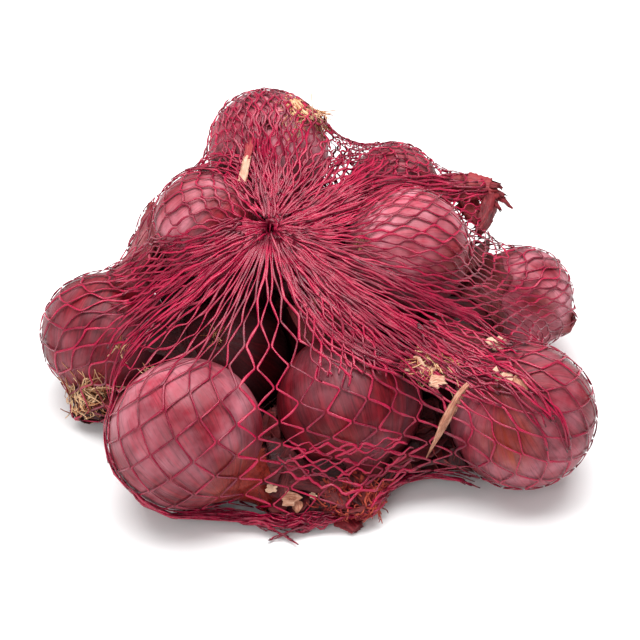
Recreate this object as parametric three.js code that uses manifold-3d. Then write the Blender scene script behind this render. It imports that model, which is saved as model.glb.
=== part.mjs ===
// A mesh net bag of red onions, lying on its side on a flat surface.
// Millimetres, +Z up, +X to the right and -Y towards the viewer. The origin is on the surface,
// under the middle of the bag. The net is one red tube of open mesh, drawn together at both ends:
// one end faces the viewer as a tight starburst, the other is low at the back.
import * as THREE from 'three';
import { mergeVertices } from 'three/addons/utils/BufferGeometryUtils.js';
import Module from 'manifold-3d';

const wasm = await Module();
wasm.setup();

// ---- driving dimensions (mm) ----
// Each onion: its middle, its radius across, and the way its neck points.
const ONIONS = [
  { name: 'top', at: [-20, 69, 93], radius: 29, neck: [-0.72, -0.15, -0.68] },
  { name: 'shoulder_left', at: [-47, 25, 81], radius: 25.5, neck: [0.63, 0.13, 0.77] },
  { name: 'shoulder_right', at: [43, 10, 77], radius: 29, neck: [0.75, 0.45, -0.48] },
  { name: 'shoulder_back', at: [39, 67, 70], radius: 24, neck: [0.98, -0.14, 0.15] },
  { name: 'left', at: [-95, 5, 32.5], radius: 30.5, neck: [0.32, 0.74, 0.59] },
  { name: 'front_left', at: [-54, -66, 34.5], radius: 34, neck: [0.52, -0.68, -0.51] },
  { name: 'front_middle', at: [17, -44, 33.5], radius: 33, neck: [0.3, -0.74, -0.6] },
  { name: 'front_right', at: [93, -52, 33], radius: 32.5, neck: [-0.42, -0.32, 0.85] },
  { name: 'right', at: [100, 35, 30.5], radius: 25.5, neck: [0.86, -0.42, -0.29] },
  { name: 'floor_left', at: [-38, -7, 28.5], radius: 28, neck: [0.2, 0.5, -0.84] },
  { name: 'floor_middle', at: [12, 18, 28], radius: 27.5, neck: [-0.6, 0.3, 0.74] },
  { name: 'floor_right', at: [63, -2, 27.5], radius: 27, neck: [0.3, 0.7, -0.65] },
  { name: 'back_left', at: [-48, 48, 28], radius: 27.5, neck: [-0.5, 0.8, 0.33] },
  { name: 'back_middle', at: [2, 72, 28], radius: 27.5, neck: [0.1, 0.75, 0.65] },
  { name: 'back_right', at: [53, 52, 26.5], radius: 26, neck: [0.7, 0.7, 0.1] },
];
const ONION_HEIGHT_RATIO = 0.96; // root to neck, against the width
const NET_THICKNESS = 0.6; // net and loose skin over an onion

// Dried necks, tufts of root and bunched net that lift the net off the onions: where each starts
// and where it ends.
const STICKS = [
  { name: 'neck_back', from: [62, 65, 74], to: [78, 60, 77], radius: 8.5 },
  { name: 'neck_right', from: [118, 27, 26], to: [121, 24, 24], radius: 6 },
  { name: 'tatter_front', from: [18, -72, 15], to: [20, -86, 9], radius: 8.5 },
  { name: 'bunch_front', from: [-9, -74, 9], to: [-10, -86, 7], radius: 7 },
  { name: 'roots_left', from: [-101, -12, 18], to: [-104, -20, 9], radius: 9 },
  { name: 'roots_top', from: [-2, 64, 111], to: [2, 61, 113], radius: 6 },
  { name: 'neck_left', from: [-80, 32, 60], to: [-70, 42, 82], radius: 7 },
];
const STICK_BALLS = 4; // balls along each stick that the net bears on

// The two drawn-together ends: the pucker's middle and the way it faces.
const FRONT_GATHER = { name: 'gather_front', at: [-18, 10, 90], facing: [0.05, -0.62, 0.78] };
const BACK_GATHER = { name: 'gather_back', at: [27, 89, 37], facing: [0.25, 0.95, 0.1] };
const GATHER_RADIUS = 5; // the pucker, across its widest
const GATHER_DEPTH = 9; // from its sunk root to its crown
const GATHER_PLEATS = 8; // folds round the pucker
const PLEAT_DEPTH = 0.9; // how far a fold cuts in
const CLEARANCE = 0.3; // gap between the pucker and the bag round it

// How the taut net is worked out
const WRAP_DETAIL = 18; // how finely the wrap is divided
const WRAP_HALF = [150, 125, 85]; // half sizes of the loose wrap before it tightens
const WRAP_MIDDLE = [0, 0, 55];
const WRAP_STEPS = 420; // rounds of tightening
const WRAP_PULL = 0.5; // how far a point goes to the middle of its neighbours in a round
const WRAP_CLING = 0.08; // how far the net settles into the hollows in a round
const CATCH_STEP = 240; // the round in which the ends are drawn in and the net catches on the sticks
const CATCH_RISE = 0.5; // how far forward the net's points sit round a stick's end
const REST_BAND = 1.6; // what is lower than this is pressed flat on the surface

// ---- materials ----
const netRed = () =>
  new THREE.MeshStandardMaterial({ color: 0x9c2f4b, roughness: 0.5, metalness: 0 });
const gatherRed = () =>
  new THREE.MeshStandardMaterial({ color: 0x7d0f26, roughness: 0.45, metalness: 0 });

// ---- helpers ----
const vec = (a) => new THREE.Vector3(...a);

// The closed index form of a geometry: positions and triangles only, shared corners merged.
function bare(geometry) {
  geometry.deleteAttribute('normal');
  geometry.deleteAttribute('uv');
  return mergeVertices(geometry, 1e-4);
}

function solidFrom(geometry) {
  return new wasm.Manifold(
    new wasm.Mesh({
      numProp: 3,
      vertProperties: new Float32Array(geometry.getAttribute('position').array),
      triVerts: new Uint32Array(geometry.index.array),
    }),
  );
}

function geometryFrom(solid) {
  const mesh = solid.getMesh();
  const geometry = new THREE.BufferGeometry();
  geometry.setAttribute('position', new THREE.BufferAttribute(mesh.vertProperties, 3));
  geometry.setIndex(new THREE.BufferAttribute(mesh.triVerts, 1));
  geometry.computeVertexNormals();
  return geometry;
}

// ---- what the net bears on ----
// An onion pushes a point out along its own radius, and it is a little flat from root to neck.
function onionPusher(onion) {
  const middle = vec(onion.at);
  const axis = vec(onion.neck).normalize();
  const across = onion.radius + NET_THICKNESS;
  const along = onion.radius * ONION_HEIGHT_RATIO + NET_THICKNESS;
  return (point) => {
    const off = point.clone().sub(middle);
    const height = off.dot(axis);
    const side = off.clone().addScaledVector(axis, -height);
    const depth = Math.hypot(height / along, side.length() / across);
    if (depth < 1) point.copy(middle).addScaledVector(off, 1 / Math.max(depth, 1e-6));
  };
}

function ballPusher(middle, radius) {
  return (point) => {
    const off = point.clone().sub(middle);
    const distance = off.length();
    if (distance < radius) point.copy(middle).addScaledVector(off, radius / Math.max(distance, 1e-6));
  };
}

function stickPushers(stick) {
  const from = vec(stick.from);
  const to = vec(stick.to);
  return Array.from({ length: STICK_BALLS }, (_, i) =>
    ballPusher(from.clone().lerp(to, i / (STICK_BALLS - 1)), stick.radius),
  );
}

// ---- the taut net ----
function neighboursOf(geometry) {
  const near = Array.from({ length: geometry.getAttribute('position').count }, () => new Set());
  const index = geometry.index.array;
  for (let i = 0; i < index.length; i += 3) {
    const corners = [index[i], index[i + 1], index[i + 2]];
    for (const a of corners) for (const b of corners) if (a !== b) near[a].add(b);
  }
  return near.map((set) => [...set]);
}

// The net catches on a stick's far end: the wrap's nearest point goes to the tip, and the points
// next to that one go round the end ball. Each spot stays clear of what the net bears on.
function caughtOn(stick, points, near, pushers) {
  const to = vec(stick.to);
  const along = to.clone().sub(vec(stick.from)).normalize();
  const first = nearestTo(points, to.clone().addScaledVector(along, stick.radius));
  const ways = [along.clone()];
  for (const k of near[first]) {
    const side = points[k].clone().sub(points[first]).projectOnPlane(along).normalize();
    ways.push(along.clone().multiplyScalar(CATCH_RISE).add(side).normalize());
  }
  return [first, ...near[first]].map((k, i) => {
    const spot = to.clone().addScaledVector(ways[i], stick.radius);
    for (const push of pushers) push(spot);
    return [k, spot];
  });
}

// The way out of the wrap at each of its points, one unit long.
function waysOut(points, index) {
  const out = points.map(() => new THREE.Vector3());
  const face = new THREE.Triangle();
  const normal = new THREE.Vector3();
  for (let i = 0; i < index.length; i += 3) {
    face.set(points[index[i]], points[index[i + 1]], points[index[i + 2]]);
    normal.crossVectors(face.b.clone().sub(face.a), face.c.clone().sub(face.a));
    for (let k = 0; k < 3; k += 1) out[index[i + k]].add(normal);
  }
  return out.map((way) => way.normalize());
}

function nearestTo(points, target) {
  let best = 0;
  points.forEach((point, i) => {
    if (point.distanceTo(target) < points[best].distanceTo(target)) best = i;
  });
  return best;
}

// A loose closed wrap that tightens over the onions and sticks, lies on the surface and is drawn in
// at its ends.
function tautNet() {
  const wrap = bare(new THREE.IcosahedronGeometry(1, WRAP_DETAIL));
  const position = wrap.getAttribute('position');
  const points = Array.from({ length: position.count }, (_, i) =>
    new THREE.Vector3().fromBufferAttribute(position, i).multiply(vec(WRAP_HALF)).add(vec(WRAP_MIDDLE)),
  );
  const near = neighboursOf(wrap);
  const pushers = [...ONIONS.map(onionPusher), ...STICKS.flatMap(stickPushers)];
  const pinned = new Map();
  for (let step = 0; step < WRAP_STEPS; step += 1) {
    if (step === CATCH_STEP) {
      for (const end of [FRONT_GATHER, BACK_GATHER]) {
        pinned.set(nearestTo(points, vec(end.at)), vec(end.at));
      }
      for (const stick of STICKS) {
        for (const [k, spot] of caughtOn(stick, points, near, pushers)) pinned.set(k, spot);
      }
    }
    const middles = near.map((list) => {
      const middle = new THREE.Vector3();
      for (const k of list) middle.addScaledVector(points[k], 1 / list.length);
      return middle;
    });
    const out = waysOut(points, wrap.index.array);
    points.forEach((point, i) => {
      point.lerp(middles[i], WRAP_PULL).addScaledVector(out[i], -WRAP_CLING);
      for (const push of pushers) push(point);
      if (pinned.has(i)) point.copy(pinned.get(i));
      if (point.z < REST_BAND) point.z = 0;
    });
  }
  points.forEach((point, i) => position.setXYZ(i, point.x, point.y, point.z));
  return wrap;
}

// ---- the drawn-together ends ----
// A pleated plug: a blunt sunk root, a swollen middle and a dished crown.
function gatherPlug(end, grow) {
  const radius = GATHER_RADIUS + grow;
  const half = GATHER_DEPTH / 2 + grow;
  const outline = [
    [0, -half],
    [radius * 0.6, -half * 0.8],
    [radius, -half * 0.1],
    [radius * 0.85, half * 0.6],
    [radius * 0.45, half],
    [0, half * 0.75],
  ].map(([x, y]) => new THREE.Vector2(x, y));
  const plug = bare(new THREE.LatheGeometry(outline, GATHER_PLEATS * 4));
  const position = plug.getAttribute('position');
  const point = new THREE.Vector3();
  for (let i = 0; i < position.count; i += 1) {
    point.fromBufferAttribute(position, i);
    const turn = Math.atan2(point.z, point.x);
    const fold = 1 - (PLEAT_DEPTH / radius) * (0.5 + 0.5 * Math.cos(GATHER_PLEATS * turn));
    position.setXYZ(i, point.x * fold, point.y, point.z * fold);
  }
  const turnUp = new THREE.Quaternion().setFromUnitVectors(
    new THREE.Vector3(0, 1, 0),
    vec(end.facing).normalize(),
  );
  return plug.applyQuaternion(turnUp).translate(...end.at);
}

function gatherMesh(end) {
  const mesh = new THREE.Mesh(gatherPlug(end, 0), gatherRed());
  mesh.geometry.computeVertexNormals();
  mesh.name = end.name;
  return mesh;
}

function filledNetMesh() {
  let bag = solidFrom(tautNet());
  for (const end of [FRONT_GATHER, BACK_GATHER]) {
    bag = bag.subtract(solidFrom(gatherPlug(end, CLEARANCE)));
  }
  const mesh = new THREE.Mesh(geometryFrom(bag), netRed());
  mesh.name = 'filled_net';
  return mesh;
}

const netOfOnions = new THREE.Group();
netOfOnions.add(filledNetMesh(), gatherMesh(FRONT_GATHER), gatherMesh(BACK_GATHER));

export default netOfOnions;
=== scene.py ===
"""A red mesh net bag of red onions, lying on its side in a lumpy heap on a pale floor.

Lengths are in millimetres here and become metres as each mesh is made. +Z is up and -Y is towards the
camera. The net is a tube of diamond mesh, drawn together at its two ends. It is laid over the bag's solid
and relaxed there, and each of its strands is then a flat tape that runs from one end to the other.
"""
import math

import bpy
import numpy as np
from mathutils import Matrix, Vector
from mathutils.bvhtree import BVHTree


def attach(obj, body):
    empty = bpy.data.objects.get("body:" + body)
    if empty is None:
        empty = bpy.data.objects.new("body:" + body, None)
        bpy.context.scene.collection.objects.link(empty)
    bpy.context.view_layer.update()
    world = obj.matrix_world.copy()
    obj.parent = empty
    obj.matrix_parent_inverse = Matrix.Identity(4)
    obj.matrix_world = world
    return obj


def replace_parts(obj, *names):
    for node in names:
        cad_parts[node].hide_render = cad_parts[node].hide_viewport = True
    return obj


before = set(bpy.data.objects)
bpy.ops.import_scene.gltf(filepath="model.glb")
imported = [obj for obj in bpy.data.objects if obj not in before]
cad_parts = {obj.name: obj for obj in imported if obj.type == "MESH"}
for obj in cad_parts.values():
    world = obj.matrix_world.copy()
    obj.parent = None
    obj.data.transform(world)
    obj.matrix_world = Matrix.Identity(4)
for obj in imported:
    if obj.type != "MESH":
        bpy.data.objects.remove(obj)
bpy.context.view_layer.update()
MM = 0.001


def unit(v):
    """v, or each row of v, one long."""
    v = np.asarray(v, float)
    return v / np.maximum(np.linalg.norm(v, axis=-1, keepdims=True), 1e-9)


CAMERA_TARGET = np.array([4, -12, 55.0])
CAMERA_ELEVATION = math.radians(38)
CAMERA_DISTANCE = 840
CAMERA_BACK = np.array([0, -math.cos(CAMERA_ELEVATION), math.sin(CAMERA_ELEVATION)])
CAMERA_UP = np.array([0, math.sin(CAMERA_ELEVATION), math.cos(CAMERA_ELEVATION)])

# ---- the onions: middle, radius across, way of the neck, pale bloom and painted sheen from 0 to 1 ----
ONIONS = [
    ("top", (-20, 69, 93), 29, (-0.72, -0.15, -0.68), 1.0),
    ("shoulder_left", (-47, 25, 81), 25.5, (0.63, 0.13, 0.77), 0.95),
    ("shoulder_right", (43, 10, 77), 29, (0.75, 0.45, -0.48), 0.85),
    ("shoulder_back", (39, 67, 70), 24, (0.98, -0.14, 0.15), 0.6),
    ("left", (-95, 5, 32.5), 30.5, (0.32, 0.74, 0.59), 0.3),
    ("front_left", (-54, -66, 34.5), 34, (0.52, -0.68, -0.51), 0.55),
    ("front_middle", (17, -44, 33.5), 33, (0.3, -0.74, -0.6), 0.2),
    ("front_right", (93, -52, 33), 32.5, (-0.42, -0.32, 0.85), 0.42),
    ("right", (100, 35, 30.5), 25.5, (0.86, -0.42, -0.29), 1.0),
    ("floor_left", (-38, -7, 28.5), 28, (0.2, 0.5, -0.84), 0.2),
    ("floor_middle", (12, 18, 28), 27.5, (-0.6, 0.3, 0.74), 0.1),
    ("floor_right", (63, -2, 27.5), 27, (0.3, 0.7, -0.65), 0.2),
    ("back_left", (-48, 48, 28), 27.5, (-0.5, 0.8, 0.33), 0.4),
    ("back_middle", (2, 72, 28), 27.5, (0.1, 0.75, 0.65), 0.5),
    ("back_right", (53, 52, 26.5), 26, (0.7, 0.7, 0.1), 0.3),
]
# Painted shade: how far the skins are darkened in the heap's shade and near the floor, from 0 to 1.
SHADED = {
    "floor_left": 0.75, "floor_middle": 0.85, "floor_right": 0.75, "front_middle": 0.26,
    "left": 0.14, "front_right": 0.14, "front_left": 0.06,
}
HEIGHT_RATIO = 0.96  # root to neck, against the width
MIDDLES = np.array([row[1] for row in ONIONS], float)
RADII = np.array([row[2] for row in ONIONS], float)
NECKS = np.array([np.array(row[3]) / np.linalg.norm(row[3]) for row in ONIONS])

# Straw-coloured patches of skin: the onion, the way each faces, its half angle in degrees, its strength.
STRAW_PATCHES = [
    ("front_left", (0.62, -0.75, -0.25), 34, 0.8),
    ("front_middle", (-0.25, -0.93, 0.02), 30, 0.55),
    ("front_right", (-0.38, -0.86, 0.3), 34, 1.0),
    ("front_right", (-0.47, -0.2, 0.86), 22, 0.3),
    ("left", (-0.1, -0.8, -0.2), 30, 0.4),
    ("shoulder_right", (0.5, -0.6, 0.2), 30, 0.35),
    ("right", (0.3, -0.7, 0.4), 26, 0.5),
    ("back_left", (-0.5, 0.6, 0.5), 30, 0.6),
    ("back_right", (0.6, 0.6, 0.4), 26, 0.5),
]

# ---- the net ----
COLUMNS, ROWS = 64, 38
FRONT_END = (np.array([-18, 10, 90.0]), unit((0.05, -0.62, 0.78)))  # the pucker and the way it faces
BACK_END = (np.array([27, 89, 37.0]), unit((0.25, 0.95, 0.1)))
END_RING = 3.4  # radius of the ring of knots at a drawn-together end
SIDE_LONGEST, SIDE_SHORTEST = 11.8, 6.0  # a cell's side, pulled taut, and where bunched sides push back
NET_GAP = 0.6  # from an onion to the middle of a knot
FLOOR_GAP = 0.7
STRAND_WIDTH, STRAND_THICKNESS = 1.12, 0.42
JOINT_TAUT, JOINT_SLACK = 0.35, 1.6  # two strands run side by side this far, each way from a knot
JOINT_ASIDE = 0.42  # from a knot's middle to each strand, of a strand's width
# The strands leave the front pucker unevenly. Degrees anticlockwise from +X as the camera sees them, from
# the first line to each line, and how many columns of cells lie before that line.
SECTOR_LINES = [-150, -122, -60, -36, -4, 22, 60, 115, 150, 210]
SECTOR_COLUMNS = [0, 6, 12, 22, 33, 37, 44, 55, 58, 64]
EVEN_FROM, EVEN_TO = 0.5, 0.95  # the shares of the tube's length where the columns even out


# ---- the bag's solid, which the net lies on ----
FAR = 400  # outside the bag, from any point in it


class Film:
    """The CAD solid's surface: the nearest point and the way out there, and where a line meets it."""

    def __init__(self, node):
        points = [v.co / MM for v in node.data.vertices]
        self.tree = BVHTree.FromPolygons(points, [tuple(p.vertices) for p in node.data.polygons])

    def nearest(self, points):
        spots, ways = np.empty((2, points.size // 3, 3))
        for k, point in enumerate(points.reshape(-1, 3)):
            spots[k], ways[k] = self.tree.find_nearest(Vector(point))[:2]
        return spots.reshape(points.shape), ways.reshape(points.shape)

    def outside_in(self, middle, way):
        """Where a line from far outside towards the middle first meets the surface."""
        return np.array(self.tree.ray_cast(Vector(middle + way * FAR), Vector(-way))[0])

    def hold_inside(self, points, depth):
        """The points that are less than depth under the surface are moved down to that depth."""
        spots, ways = self.nearest(points)
        short = depth + np.sum((points - spots) * ways, axis=-1, keepdims=True)
        return points - ways * np.maximum(short, 0)


film = Film(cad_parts["filled_net"])


def push_out(points, gap, floor=FLOOR_GAP):
    """The points, with those inside an onion moved gap beyond its surface, and all kept off the floor."""
    points = points.copy()
    for middle, neck, radius in zip(MIDDLES, NECKS, RADII):
        off = points - middle
        height = off @ neck
        side2 = np.maximum(np.sum(off * off, axis=-1) - height * height, 0)
        depth = np.sqrt((height / (radius * HEIGHT_RATIO + gap)) ** 2 + side2 / (radius + gap) ** 2)
        inside = depth < 1
        points[inside] = middle + off[inside] / np.maximum(depth[inside], 1e-6)[:, None]
    points[..., 2] = np.maximum(points[..., 2], floor)
    return points


# ---- meshes ----
GRAIN_RUN = 0.05  # how fast the grain of a tube runs along it, for each millimetre
GRAIN_SHIFT = 37.0  # between the grain of one part and the next, by their tags


def run_along(paths):
    """How far along its path each point lies."""
    steps = np.linalg.norm(np.diff(paths, axis=-2), axis=-1)
    return np.concatenate([np.zeros_like(steps[..., :1]), np.cumsum(steps, -1)], -1)


def triples(*values):
    """A three-number mark for each point, from three arrays that broadcast together."""
    return np.stack(np.broadcast_arrays(*values), -1)


def quads_between(ids):
    """The faces between rings that follow each other. ids is (..., rings, points round)."""
    here, there = ids[..., :-1, :], ids[..., 1:, :]
    quads = np.stack([here, np.roll(here, -1, -1), np.roll(there, -1, -1), there], -1)
    return quads.reshape(-1, 4).tolist()


def placed(name, data):
    made = bpy.data.objects.new(name, data)
    bpy.context.scene.collection.objects.link(made)
    return made


class Shape:
    """Points and faces gathered from many parts, with two three-number marks at each point.

    grain runs with the fibres of the part, for streaks and bumps. look holds the part's own values."""

    def __init__(self):
        self.points, self.faces, self.grain, self.look = [], [], [], []
        self.count = 0

    def add(self, points, faces, grain, look):
        self.faces += [tuple(int(k) + self.count for k in face) for face in faces]
        self.points.append(points)
        self.grain.append(grain)
        self.look.append(look)
        self.count += len(points)

    def piece(self, name, material):
        mesh = bpy.data.meshes.new(name)
        mesh.from_pydata(np.concatenate(self.points) * MM, [], self.faces)
        for key, values in (("grain", self.grain), ("look", self.look)):
            mark = mesh.attributes.new(key, "FLOAT_VECTOR", "POINT")
            mark.data.foreach_set("vector", np.concatenate(values).astype(np.float32).ravel())
        mesh.polygons.foreach_set("use_smooth", np.ones(len(mesh.polygons), bool))
        mesh.materials.append(material)
        mesh.validate()
        made = placed(name, mesh)
        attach(made, "root")
        return made


def tubes(paths, ups, widths, thicknesses, sides, tags, bulges=1.0, trim=None):
    """Closed tubes of flattened section, one along each path. Arrays are (tubes, points along, ...).

    ups is the way that the flat side faces. bulges scales each point of each ring. trim moves the points
    of the last ring along the path, for a torn end. Gives what Shape.add takes."""
    count, length = paths.shape[:2]
    ahead = unit(np.gradient(paths, axis=1))
    aside = unit(np.cross(ahead, ups))
    flat = np.cross(aside, ahead)
    turn = np.linspace(0, 2 * np.pi, sides, endpoint=False)
    across = (widths[..., None] / 2 * np.cos(turn) * bulges)[..., None] * aside[:, :, None]
    deep = (thicknesses[..., None] / 2 * np.sin(turn) * bulges)[..., None] * flat[:, :, None]
    rings = paths[:, :, None] + across + deep
    if trim is not None:
        rings[:, -1] += trim[..., None] * ahead[:, -1:, :]
    ids = np.arange(count * length * sides).reshape(count, length, sides)
    faces = quads_between(ids) + ids[:, 0, ::-1].tolist() + ids[:, -1].tolist()
    run = run_along(paths)
    own = tags[:, None, None]
    grain = triples(np.cos(turn), np.sin(turn), run[..., None] * GRAIN_RUN + own * GRAIN_SHIFT)
    share = run / np.maximum(run[:, -1:], 1e-6)
    look = triples(own, share[..., None], turn / (2 * np.pi))
    return rings.reshape(-1, 3), faces, grain.reshape(-1, 3), look.reshape(-1, 3)


def smoothed(lines, kept):
    """Lines with this share kept of each point between the ends, and the rest from its neighbours."""
    lines = lines.copy()
    near = lines[..., :-2, :] + lines[..., 2:, :]
    lines[..., 1:-1, :] = kept * lines[..., 1:-1, :] + (1 - kept) / 2 * near
    return lines


def smooth_noise(t, rng):
    """A smooth wandering number for each t, about -1 to 1."""
    waves = np.arange(5)
    heights = 0.75**waves
    phases = rng.uniform(0, 2 * np.pi, len(waves))
    return np.sum(heights * np.sin(np.multiply.outer(t, 0.6 * 1.7**waves) + phases), -1) / heights.sum() * 1.6


# ---- materials ----
def tone(red, green, blue):
    """A colour of the screen, 0 to 255, as the shader wants it."""
    share = np.array([red, green, blue]) / 255
    light = np.where(share <= 0.04045, share / 12.92, ((share + 0.055) / 1.055) ** 2.4)
    return (*light.tolist(), 1.0)


class Look:
    """A node material of one Principled shader."""

    def __init__(self, name, **shader):
        self.material = bpy.data.materials.new(name)
        self.material.use_nodes = True
        tree = self.material.node_tree
        tree.nodes.clear()
        self.nodes, self.links = tree.nodes, tree.links
        self.shader = self.node("BsdfPrincipled", **shader)
        output = self.node("OutputMaterial")
        self.links.new(self.shader.outputs[0], output.inputs["Surface"])

    def fill(self, socket, value):
        """value is another node's socket, a number, or a colour of the screen."""
        if isinstance(value, bpy.types.NodeSocket):
            self.links.new(value, socket)
        else:
            socket.default_value = tone(*value) if isinstance(value, tuple) else value

    def node(self, kind, **inputs):
        made = self.nodes.new("ShaderNode" + kind)
        for key, value in inputs.items():
            self.fill(made.inputs[key.replace("_", " ")], value)
        return made

    def mark(self, name):
        made = self.node("Attribute")
        made.attribute_name = name
        return made.outputs["Vector"]

    def part(self, vector, axis):
        return self.node("SeparateXYZ", Vector=vector).outputs[axis]

    def place(self):
        return self.node("TexCoord").outputs["Object"]

    def noise(self, vector, scale, detail=3.0, roughness=0.55, distortion=0.0):
        made = self.node("TexNoise", Vector=vector, Scale=scale, Detail=detail,
                         Roughness=roughness, Distortion=distortion)
        return made.outputs[0]

    def ramp(self, factor, *stops):
        """stops are (place, value or colour)."""
        made = self.node("ValToRGB", Fac=factor)
        bar = made.color_ramp.elements
        while len(bar) < len(stops):
            bar.new(0.5)
        for element, (place, value) in zip(bar, stops):
            element.position = place
            element.color = tone(*value) if isinstance(value, tuple) else (value, value, value, 1.0)
        return made.outputs[0]

    def mix(self, factor, first, second, blend="MIX"):
        made = self.nodes.new("ShaderNodeMix")
        made.data_type = "RGBA"
        made.blend_type = blend
        for slot, value in ((0, factor), (6, first), (7, second)):
            self.fill(made.inputs[slot], value)
        return made.outputs[2]

    def math(self, operation, first, second):
        made = self.nodes.new("ShaderNodeMath")
        made.operation = operation
        self.fill(made.inputs[0], first)
        self.fill(made.inputs[1], second)
        return made.outputs[0]

    def bump(self, height, strength, distance, normal=None):
        made = self.node("Bump", Height=height, Strength=strength, Distance=distance)
        if normal is not None:
            self.links.new(normal, made.inputs["Normal"])
        return made.outputs[0]

    def finish(self, **inputs):
        for key, value in inputs.items():
            self.fill(self.shader.inputs[key.replace("_", " ")], value)
        return self.material


def onion_skin():
    """Dry papery skin: fine veins from root to neck, streaks, a pale bloom that is partly painted sheen,
    straw-coloured patches and painted shade.
    """
    look = Look("onion_skin", IOR=1.45, Specular_IOR_Level=0.1, Coat_Weight=0.08, Coat_Roughness=0.18)
    grain, marks, place = look.mark("grain"), look.mark("look"), look.place()
    straw, bloom_and_sheen = look.part(marks, 0), look.part(marks, 1)
    streaks = look.noise(grain, 7.0, 4.0, 0.6)
    veins = look.noise(grain, 34.0, 3.0, 0.6, 0.3)
    mottle = look.noise(place, 55.0, 4.0, 0.6)
    cloud = look.noise(place, 26.0, 4.0, 0.6)
    ground = look.ramp(streaks, (0.3, (48, 2, 8)), (0.5, (94, 5, 16)), (0.7, (138, 14, 30)))
    # Partly a real bloom, partly painted sheen: the pale colour also stands in for the sheen of lit skin, so
    # it is strongest on the onions higher in the heap.
    pale = look.ramp(mottle, (0.35, (184, 76, 94)), (0.65, (224, 148, 162)))
    haze = look.math("MULTIPLY", bloom_and_sheen, look.ramp(cloud, (0.36, 0.1), (0.6, 1.25)))
    skin = look.mix(haze, ground, pale)
    dry = look.ramp(mottle, (0.3, (100, 26, 22)), (0.55, (140, 50, 38)), (0.75, (170, 88, 62)))
    skin = look.mix(look.math("MULTIPLY", straw, look.ramp(streaks, (0.3, 0.45), (0.6, 1.0))), skin, dry)
    lines = look.ramp(veins, (0.36, 0.62), (0.46, 1.0))
    skin = look.mix(0.75, skin, lines, "MULTIPLY")
    glow = look.ramp(veins, (0.58, 0.0), (0.72, 0.35))
    skin = look.mix(glow, skin, (178, 50, 72))
    # Painted shade: the third mark darkens the skin towards near black.
    painted_shade = look.part(marks, 2)
    skin = look.mix(painted_shade, skin, (24, 7, 8))
    wrinkles = look.bump(streaks, 0.5, 0.0012)
    bumps = look.bump(veins, 0.35, 0.0003, wrinkles)
    rough = look.ramp(mottle, (0.3, 0.26), (0.7, 0.48))
    return look.finish(Base_Color=skin, Roughness=rough, Normal=bumps)


def net_plastic(name, light, dark):
    """Glossy drawn plastic tape, each strand a little lighter or darker, with fine draw lines and painted
    shade towards its ends.
    """
    look = Look(name, IOR=1.5, Specular_IOR_Level=0.36, Coat_Weight=0.1, Coat_Roughness=0.1)
    grain, marks, place = look.mark("grain"), look.mark("look"), look.place()
    own = look.part(marks, 0)
    patch = look.noise(place, 160.0, 2.0, 0.5)
    shade = look.math("ADD", look.math("MULTIPLY", own, 0.45), look.math("MULTIPLY", patch, 0.7))
    colour = look.ramp(shade, (0.2, dark), (0.9, light))
    share = look.part(marks, 1)
    # Painted shade: each strand darkens towards both its ends, which lie deep in the puckers.
    deep = look.ramp(share, (0.0, 0.95), (0.022, 0.6), (0.045, 0.0), (0.96, 0.0), (1.0, 0.9))
    colour = look.mix(deep, colour, (48, 1, 9))
    lines = look.noise(grain, 3.5, 2.0, 0.5)
    bumps = look.bump(lines, 0.5, 0.0003)
    rough = look.ramp(look.noise(place, 300.0, 1.0), (0.3, 0.18), (0.7, 0.38))
    return look.finish(Base_Color=colour, Roughness=rough, Normal=bumps)


def dry_stuff(name, dark, middle, light, roughness=(0.55, 0.8)):
    """Dry fibrous plant stuff: dark, middle and light by its fibres and by the piece."""
    look = Look(name, IOR=1.4)
    grain, marks, place = look.mark("grain"), look.mark("look"), look.place()
    fibres = look.noise(grain, 5.0, 4.0, 0.65, 0.4)
    patch = look.noise(place, 140.0, 3.0, 0.6)
    own = look.part(marks, 0)
    shade = look.math("ADD", look.math("MULTIPLY", fibres, 0.55), look.math("MULTIPLY", patch, 0.25))
    shade = look.math("ADD", shade, look.math("MULTIPLY", own, 0.35))
    colour = look.ramp(shade, (0.38, dark), (0.52, middle), (0.68, light))
    bumps = look.bump(fibres, 0.7, 0.0008)
    rough = look.ramp(patch, (0.3, roughness[0]), (0.7, roughness[1]))
    return look.finish(Base_Color=colour, Roughness=rough, Normal=bumps)


SKIN = onion_skin()
NET = net_plastic("net_plastic", (178, 9, 62), (86, 2, 28))
# Painted shade: the same plastic as the net, much darker, for the bundle sunk in the pucker's hole.
KNOT_IN_SHADE = net_plastic("knot_plastic_in_shade", (62, 2, 10), (24, 1, 4))
STRAW = dry_stuff("straw", (92, 46, 36), (172, 112, 88), (216, 174, 148))
ROOTS = dry_stuff("root_hair", (128, 58, 34), (204, 136, 90), (246, 204, 160))
RED_HUSK = dry_stuff("red_husk", (56, 7, 14), (118, 20, 32), (156, 50, 54), (0.4, 0.65))
# Painted shade: dark enough that the loose skins stand in for the shade in the bag's hollows.
DARK_SKIN_AS_SHADE = dry_stuff("dark_skin_as_shade", (38, 6, 10), (80, 14, 22), (124, 42, 44), (0.45, 0.7))
RUST_HUSK = dry_stuff("rust_husk", (98, 10, 18), (152, 30, 34), (194, 80, 58), (0.45, 0.7))


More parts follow.
